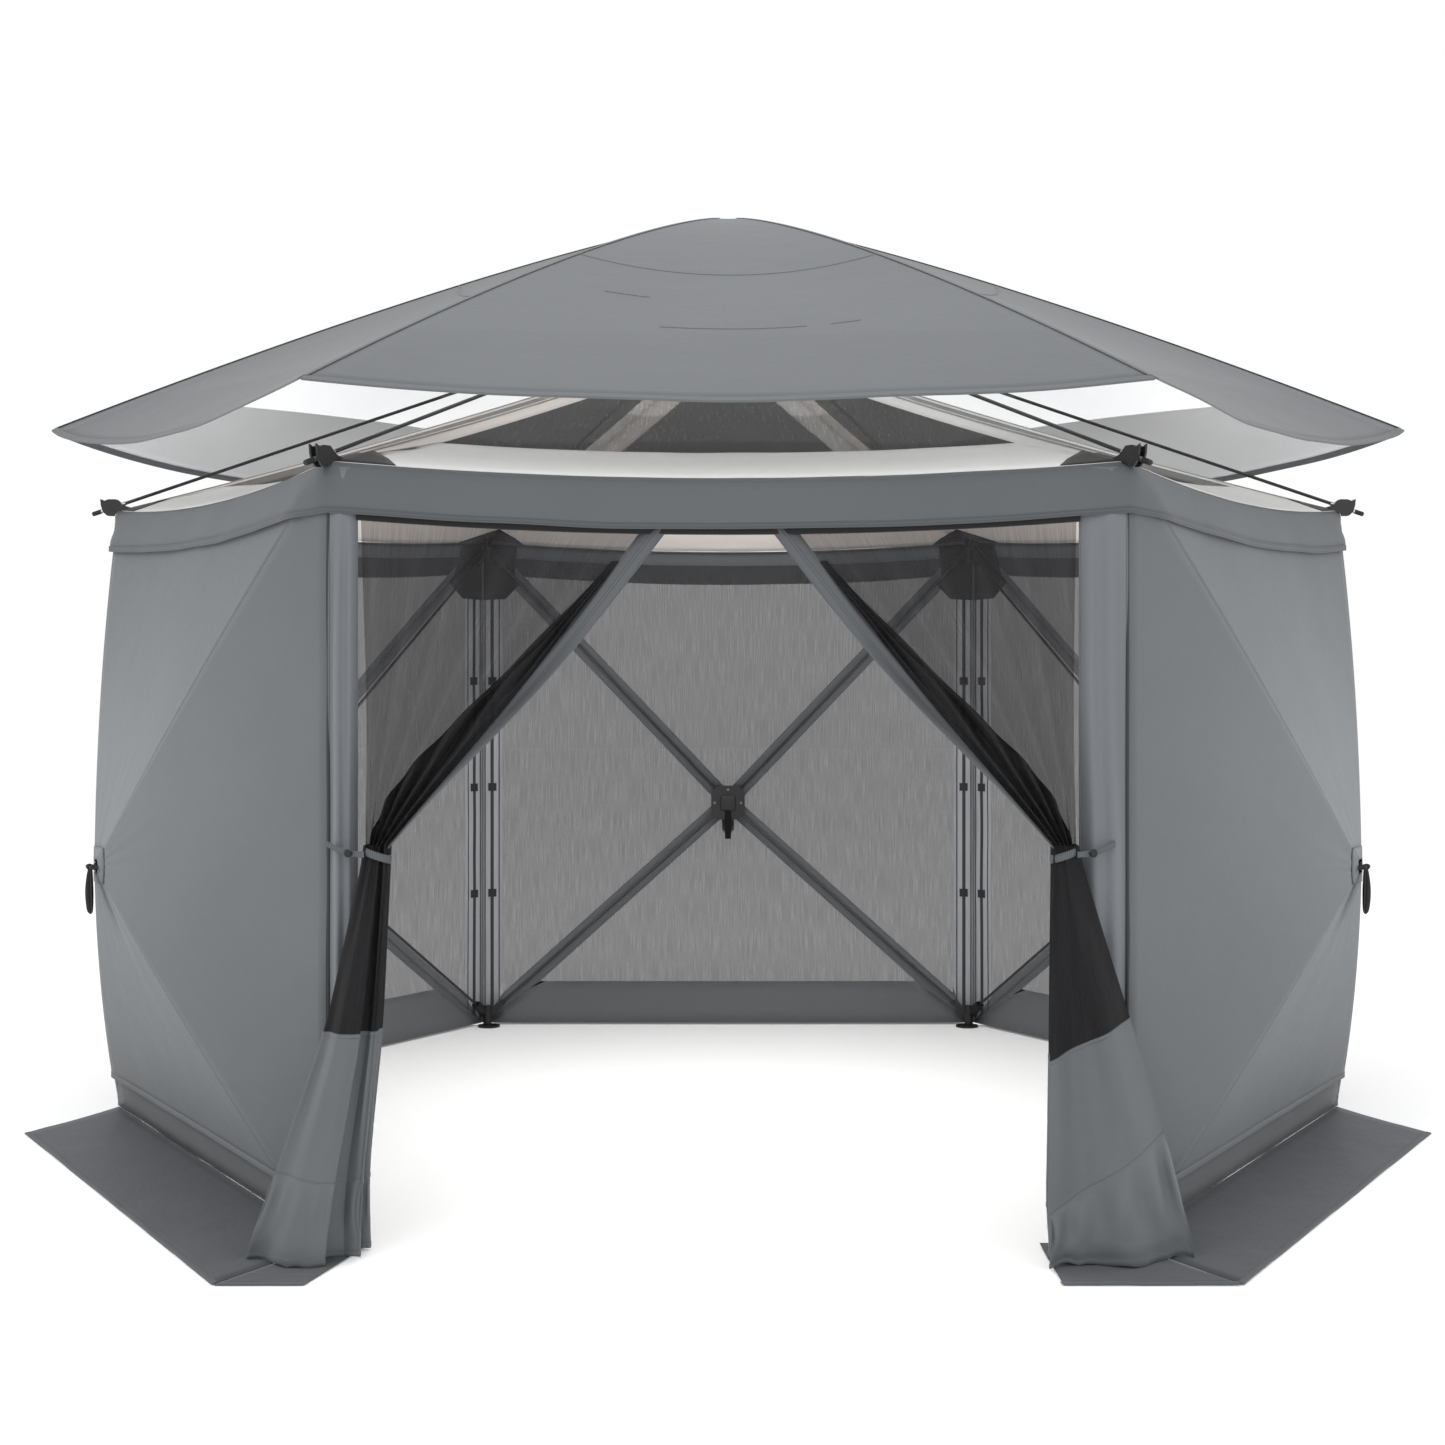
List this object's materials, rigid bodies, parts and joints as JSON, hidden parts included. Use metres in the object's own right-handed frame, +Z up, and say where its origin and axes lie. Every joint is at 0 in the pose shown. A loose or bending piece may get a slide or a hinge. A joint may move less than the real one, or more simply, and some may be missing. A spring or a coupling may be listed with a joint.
{
  "type": "pop-up screen house",
  "caption": "Hexagonal pop-up screen house: hub-and-pole netting walls, wind panels, tied-back door, ground skirt and a lift-off rain cover.",
  "frame": {"origin": "on the ground, at the middle of the plan", "axes": "+Z up, -Y out through the door, X along the door wall"},
  "size_m": [3.95, 3.723, 2.6073],
  "materials": {
    "cover_cloth": "plain-woven polyester, water repellent, semi-matt",
    "roof_cloth": "pale grey polyester with netting windows, beige inside",
    "wall_cloth": "plain-woven polyester, semi-matt",
    "netting": "fine black mesh",
    "skirt_cloth": "plain-woven polyester, matt",
    "fibreglass": "pultruded black fibreglass, semi-gloss",
    "black_nylon": "moulded nylon, matt",
    "webbing": "padded black webbing"
  },
  "bodies": {
    "tent": {"roof_canopy": "roof_cloth", "valance": "wall_cloth", "corner_fittings": "black_nylon", "ground_feet": "black_nylon", "door_jamb_left": "wall_cloth", "door_jamb_right": "wall_cloth", "door_flap_left": "netting", "door_flap_right": "netting", "tie_back_left": "wall_cloth", "tie_back_right": "wall_cloth", "skirt_left": "skirt_cloth", "skirt_right": "skirt_cloth", "skirt_back": "skirt_cloth", "wind_panel_left": "wall_cloth", "wind_panel_right": "wall_cloth", "wall_mesh_back_right": "netting", "wall_mesh_back": "netting", "wall_mesh_back_left": "netting", "wall_mesh_front_left": "netting", "wall_mesh_front_right": "netting"},
    "rain_cover": {"rain_cover": "cover_cloth"},
    "roof_hub": {"roof_hub": "black_nylon", "roof_hub_cap": "black_nylon"},
    "roof_pole_1": {"roof_pole_1": "fibreglass"},
    "roof_pole_2": {"roof_pole_2": "fibreglass"},
    "roof_pole_3": {"roof_pole_3": "fibreglass"},
    "roof_pole_4": {"roof_pole_4": "fibreglass"},
    "roof_pole_5": {"roof_pole_5": "fibreglass"},
    "roof_pole_6": {"roof_pole_6": "fibreglass"},
    "hub_back_right": {"wall_hub_back_right": "black_nylon"},
    "pole_back_right_top_left": {"pole_back_right_top_left": "fibreglass"},
    "pole_back_right_top_right": {"pole_back_right_top_right": "fibreglass"},
    "pole_back_right_bottom_left": {"pole_back_right_bottom_left": "fibreglass"},
    "pole_back_right_bottom_right": {"pole_back_right_bottom_right": "fibreglass"},
    "strap_back_right": {"pull_strap_back_right": "webbing"},
    "hub_back": {"wall_hub_back": "black_nylon"},
    "pole_back_top_left": {"pole_back_top_left": "fibreglass"},
    "pole_back_top_right": {"pole_back_top_right": "fibreglass"},
    "pole_back_bottom_left": {"pole_back_bottom_left": "fibreglass"},
    "pole_back_bottom_right": {"pole_back_bottom_right": "fibreglass"},
    "strap_back": {"pull_strap_back": "webbing"},
    "hub_back_left": {"wall_hub_back_left": "black_nylon"},
    "pole_back_left_top_left": {"pole_back_left_top_left": "fibreglass"},
    "pole_back_left_top_right": {"pole_back_left_top_right": "fibreglass"},
    "pole_back_left_bottom_left": {"pole_back_left_bottom_left": "fibreglass"},
    "pole_back_left_bottom_right": {"pole_back_left_bottom_right": "fibreglass"},
    "strap_back_left": {"pull_strap_back_left": "webbing"},
    "hub_front_left": {"wall_hub_front_left": "black_nylon"},
    "pole_front_left_top_left": {"pole_front_left_top_left": "fibreglass"},
    "pole_front_left_top_right": {"pole_front_left_top_right": "fibreglass"},
    "pole_front_left_bottom_left": {"pole_front_left_bottom_left": "fibreglass"},
    "pole_front_left_bottom_right": {"pole_front_left_bottom_right": "fibreglass"},
    "strap_front_left": {"pull_strap_front_left": "webbing"},
    "hub_front_right": {"wall_hub_front_right": "black_nylon"},
    "pole_front_right_top_left": {"pole_front_right_top_left": "fibreglass"},
    "pole_front_right_top_right": {"pole_front_right_top_right": "fibreglass"},
    "pole_front_right_bottom_left": {"pole_front_right_bottom_left": "fibreglass"},
    "pole_front_right_bottom_right": {"pole_front_right_bottom_right": "fibreglass"},
    "strap_front_right": {"pull_strap_front_right": "webbing"}
  },
  "joints": [
    {"name": "cover_lift", "type": "slide", "parent": "tent", "child": "rain_cover", "axis": [0, 0, 1], "range_m": [-0.13, 0.2]},
    {"name": "roof_hub_pull", "type": "slide", "parent": "tent", "child": "roof_hub", "axis": [0, 0, 1], "range_m": [-1.18, 0], "deforming": ["roof_canopy"]},
    {"name": "roof_pole_1_hinge", "type": "hinge", "parent": "roof_hub", "child": "roof_pole_1", "pos_m": [0.045, 0, 2.35], "axis": [0, -1, 0], "range_deg": [-0.5, 37.7]},
    {"name": "roof_pole_2_hinge", "type": "hinge", "parent": "roof_hub", "child": "roof_pole_2", "pos_m": [0.0225, 0.03897, 2.35], "axis": [0.866, -0.5, 0], "range_deg": [-0.5, 37.7]},
    {"name": "roof_pole_3_hinge", "type": "hinge", "parent": "roof_hub", "child": "roof_pole_3", "pos_m": [-0.0225, 0.03897, 2.35], "axis": [0.866, 0.5, 0], "range_deg": [-0.5, 37.7]},
    {"name": "roof_pole_4_hinge", "type": "hinge", "parent": "roof_hub", "child": "roof_pole_4", "pos_m": [-0.045, 0, 2.35], "axis": [0, 1, 0], "range_deg": [-0.5, 37.7]},
    {"name": "roof_pole_5_hinge", "type": "hinge", "parent": "roof_hub", "child": "roof_pole_5", "pos_m": [-0.0225, -0.03897, 2.35], "axis": [-0.866, 0.5, 0], "range_deg": [-0.5, 37.7]},
    {"name": "roof_pole_6_hinge", "type": "hinge", "parent": "roof_hub", "child": "roof_pole_6", "pos_m": [0.0225, -0.03897, 2.35], "axis": [-0.866, -0.5, 0], "range_deg": [-0.5, 37.7]},
    {"name": "back_right_hub_pull", "type": "slide", "parent": "tent", "child": "hub_back_right", "axis": [0.866, 0.5, 0], "range_m": [-0.524, 0], "deforming": ["wall_mesh_back_right"]},
    {"name": "back_right_top_left_pole_hinge", "type": "hinge", "parent": "hub_back_right", "child": "pole_back_right_top_left", "pos_m": [1.52296, 0.9092, 0.8178], "axis": [-0.3658, 0.6336, -0.6817], "range_deg": [-0.5, 25.85]},
    {"name": "back_right_top_right_pole_hinge", "type": "hinge", "parent": "hub_back_right", "child": "pole_back_right_top_right", "pos_m": [1.54887, 0.86433, 0.8178], "axis": [-0.3658, 0.6336, 0.6817], "range_deg": [-0.5, 25.85]},
    {"name": "back_right_bottom_left_pole_hinge", "type": "hinge", "parent": "hub_back_right", "child": "pole_back_right_bottom_left", "pos_m": [1.52155, 0.91164, 0.76513], "axis": [0.3273, -0.5669, -0.756], "range_deg": [-0.5, 28.61]},
    {"name": "back_right_bottom_right_pole_hinge", "type": "hinge", "parent": "hub_back_right", "child": "pole_back_right_bottom_right", "pos_m": [1.55028, 0.86188, 0.76513], "axis": [0.3273, -0.5669, 0.756], "range_deg": [-0.5, 28.61]},
    {"name": "back_right_strap_hinge", "type": "hinge", "parent": "hub_back_right", "child": "strap_back_right", "pos_m": [1.6, 0.92376, 0.79], "axis": [0.5, -0.866, 0], "range_deg": [-8, 80]},
    {"name": "back_hub_pull", "type": "slide", "parent": "tent", "child": "hub_back", "axis": [0, 1, 0], "range_m": [-0.524, 0], "deforming": ["wall_mesh_back"]},
    {"name": "back_top_left_pole_hinge", "type": "hinge", "parent": "hub_back", "child": "pole_back_top_left", "pos_m": [-0.02591, 1.77353, 0.8178], "axis": [-0.7316, 0, -0.6817], "range_deg": [-0.5, 25.85]},
    {"name": "back_top_right_pole_hinge", "type": "hinge", "parent": "hub_back", "child": "pole_back_top_right", "pos_m": [0.02591, 1.77353, 0.8178], "axis": [-0.7316, 0, 0.6817], "range_deg": [-0.5, 25.85]},
    {"name": "back_bottom_left_pole_hinge", "type": "hinge", "parent": "hub_back", "child": "pole_back_bottom_left", "pos_m": [-0.02873, 1.77353, 0.76513], "axis": [0.6546, 0, -0.756], "range_deg": [-0.5, 28.61]},
    {"name": "back_bottom_right_pole_hinge", "type": "hinge", "parent": "hub_back", "child": "pole_back_bottom_right", "pos_m": [0.02873, 1.77353, 0.76513], "axis": [0.6546, 0, 0.756], "range_deg": [-0.5, 28.61]},
    {"name": "back_strap_hinge", "type": "hinge", "parent": "hub_back", "child": "strap_back", "pos_m": [0, 1.84753, 0.79], "axis": [1, 0, 0], "range_deg": [-8, 80]},
    {"name": "back_left_hub_pull", "type": "slide", "parent": "tent", "child": "hub_back_left", "axis": [-0.866, 0.5, 0], "range_m": [-0.524, 0], "deforming": ["wall_mesh_back_left"]},
    {"name": "back_left_top_left_pole_hinge", "type": "hinge", "parent": "hub_back_left", "child": "pole_back_left_top_left", "pos_m": [-1.54887, 0.86433, 0.8178], "axis": [-0.3658, -0.6336, -0.6817], "range_deg": [-0.5, 25.85]},
    {"name": "back_left_top_right_pole_hinge", "type": "hinge", "parent": "hub_back_left", "child": "pole_back_left_top_right", "pos_m": [-1.52296, 0.9092, 0.8178], "axis": [-0.3658, -0.6336, 0.6817], "range_deg": [-0.5, 25.85]},
    {"name": "back_left_bottom_left_pole_hinge", "type": "hinge", "parent": "hub_back_left", "child": "pole_back_left_bottom_left", "pos_m": [-1.55028, 0.86188, 0.76513], "axis": [0.3273, 0.5669, -0.756], "range_deg": [-0.5, 28.61]},
    {"name": "back_left_bottom_right_pole_hinge", "type": "hinge", "parent": "hub_back_left", "child": "pole_back_left_bottom_right", "pos_m": [-1.52155, 0.91164, 0.76513], "axis": [0.3273, 0.5669, 0.756], "range_deg": [-0.5, 28.61]},
    {"name": "back_left_strap_hinge", "type": "hinge", "parent": "hub_back_left", "child": "strap_back_left", "pos_m": [-1.6, 0.92376, 0.79], "axis": [0.5, 0.866, 0], "range_deg": [-8, 80]},
    {"name": "front_left_hub_pull", "type": "slide", "parent": "tent", "child": "hub_front_left", "axis": [-0.866, -0.5, 0], "range_m": [-0.524, 0], "deforming": ["wall_mesh_front_left", "wind_panel_left"]},
    {"name": "front_left_top_left_pole_hinge", "type": "hinge", "parent": "hub_front_left", "child": "pole_front_left_top_left", "pos_m": [-1.52296, -0.9092, 0.8178], "axis": [0.3658, -0.6336, -0.6817], "range_deg": [-0.5, 25.85]},
    {"name": "front_left_top_right_pole_hinge", "type": "hinge", "parent": "hub_front_left", "child": "pole_front_left_top_right", "pos_m": [-1.54887, -0.86433, 0.8178], "axis": [0.3658, -0.6336, 0.6817], "range_deg": [-0.5, 25.85]},
    {"name": "front_left_bottom_left_pole_hinge", "type": "hinge", "parent": "hub_front_left", "child": "pole_front_left_bottom_left", "pos_m": [-1.52155, -0.91164, 0.76513], "axis": [-0.3273, 0.5669, -0.756], "range_deg": [-0.5, 28.61]},
    {"name": "front_left_bottom_right_pole_hinge", "type": "hinge", "parent": "hub_front_left", "child": "pole_front_left_bottom_right", "pos_m": [-1.55028, -0.86188, 0.76513], "axis": [-0.3273, 0.5669, 0.756], "range_deg": [-0.5, 28.61]},
    {"name": "front_left_strap_hinge", "type": "hinge", "parent": "hub_front_left", "child": "strap_front_left", "pos_m": [-1.6, -0.92376, 0.79], "axis": [-0.5, 0.866, 0], "range_deg": [-8, 80]},
    {"name": "front_right_hub_pull", "type": "slide", "parent": "tent", "child": "hub_front_right", "axis": [0.866, -0.5, 0], "range_m": [-0.524, 0], "deforming": ["wall_mesh_front_right", "wind_panel_right"]},
    {"name": "front_right_top_left_pole_hinge", "type": "hinge", "parent": "hub_front_right", "child": "pole_front_right_top_left", "pos_m": [1.54887, -0.86433, 0.8178], "axis": [0.3658, 0.6336, -0.6817], "range_deg": [-0.5, 25.85]},
    {"name": "front_right_top_right_pole_hinge", "type": "hinge", "parent": "hub_front_right", "child": "pole_front_right_top_right", "pos_m": [1.52296, -0.9092, 0.8178], "axis": [0.3658, 0.6336, 0.6817], "range_deg": [-0.5, 25.85]},
    {"name": "front_right_bottom_left_pole_hinge", "type": "hinge", "parent": "hub_front_right", "child": "pole_front_right_bottom_left", "pos_m": [1.55028, -0.86188, 0.76513], "axis": [-0.3273, -0.5669, -0.756], "range_deg": [-0.5, 28.61]},
    {"name": "front_right_bottom_right_pole_hinge", "type": "hinge", "parent": "hub_front_right", "child": "pole_front_right_bottom_right", "pos_m": [1.52155, -0.91164, 0.76513], "axis": [-0.3273, -0.5669, 0.756], "range_deg": [-0.5, 28.61]},
    {"name": "front_right_strap_hinge", "type": "hinge", "parent": "hub_front_right", "child": "strap_front_right", "pos_m": [1.6, -0.92376, 0.79], "axis": [-0.5, -0.866, 0], "range_deg": [-8, 80]}
  ],
  "couplings": [
    {"joint": "roof_pole_1_hinge", "follows": "roof_hub_pull", "rad_per_m": -0.55027},
    {"joint": "roof_pole_2_hinge", "follows": "roof_hub_pull", "rad_per_m": -0.55027},
    {"joint": "roof_pole_3_hinge", "follows": "roof_hub_pull", "rad_per_m": -0.55027},
    {"joint": "roof_pole_4_hinge", "follows": "roof_hub_pull", "rad_per_m": -0.55027},
    {"joint": "roof_pole_5_hinge", "follows": "roof_hub_pull", "rad_per_m": -0.55027},
    {"joint": "roof_pole_6_hinge", "follows": "roof_hub_pull", "rad_per_m": -0.55027},
    {"joint": "back_right_top_left_pole_hinge", "follows": "back_right_hub_pull", "rad_per_m": -0.84444},
    {"joint": "back_right_top_right_pole_hinge", "follows": "back_right_hub_pull", "rad_per_m": -0.84444},
    {"joint": "back_right_bottom_left_pole_hinge", "follows": "back_right_hub_pull", "rad_per_m": -0.93618},
    {"joint": "back_right_bottom_right_pole_hinge", "follows": "back_right_hub_pull", "rad_per_m": -0.93618},
    {"joint": "back_top_left_pole_hinge", "follows": "back_hub_pull", "rad_per_m": -0.84444},
    {"joint": "back_top_right_pole_hinge", "follows": "back_hub_pull", "rad_per_m": -0.84444},
    {"joint": "back_bottom_left_pole_hinge", "follows": "back_hub_pull", "rad_per_m": -0.93618},
    {"joint": "back_bottom_right_pole_hinge", "follows": "back_hub_pull", "rad_per_m": -0.93618},
    {"joint": "back_left_top_left_pole_hinge", "follows": "back_left_hub_pull", "rad_per_m": -0.84444},
    {"joint": "back_left_top_right_pole_hinge", "follows": "back_left_hub_pull", "rad_per_m": -0.84444},
    {"joint": "back_left_bottom_left_pole_hinge", "follows": "back_left_hub_pull", "rad_per_m": -0.93618},
    {"joint": "back_left_bottom_right_pole_hinge", "follows": "back_left_hub_pull", "rad_per_m": -0.93618},
    {"joint": "front_left_top_left_pole_hinge", "follows": "front_left_hub_pull", "rad_per_m": -0.84444},
    {"joint": "front_left_top_right_pole_hinge", "follows": "front_left_hub_pull", "rad_per_m": -0.84444},
    {"joint": "front_left_bottom_left_pole_hinge", "follows": "front_left_hub_pull", "rad_per_m": -0.93618},
    {"joint": "front_left_bottom_right_pole_hinge", "follows": "front_left_hub_pull", "rad_per_m": -0.93618},
    {"joint": "front_right_top_left_pole_hinge", "follows": "front_right_hub_pull", "rad_per_m": -0.84444},
    {"joint": "front_right_top_right_pole_hinge", "follows": "front_right_hub_pull", "rad_per_m": -0.84444},
    {"joint": "front_right_bottom_left_pole_hinge", "follows": "front_right_hub_pull", "rad_per_m": -0.93618},
    {"joint": "front_right_bottom_right_pole_hinge", "follows": "front_right_hub_pull", "rad_per_m": -0.93618}
  ]
}
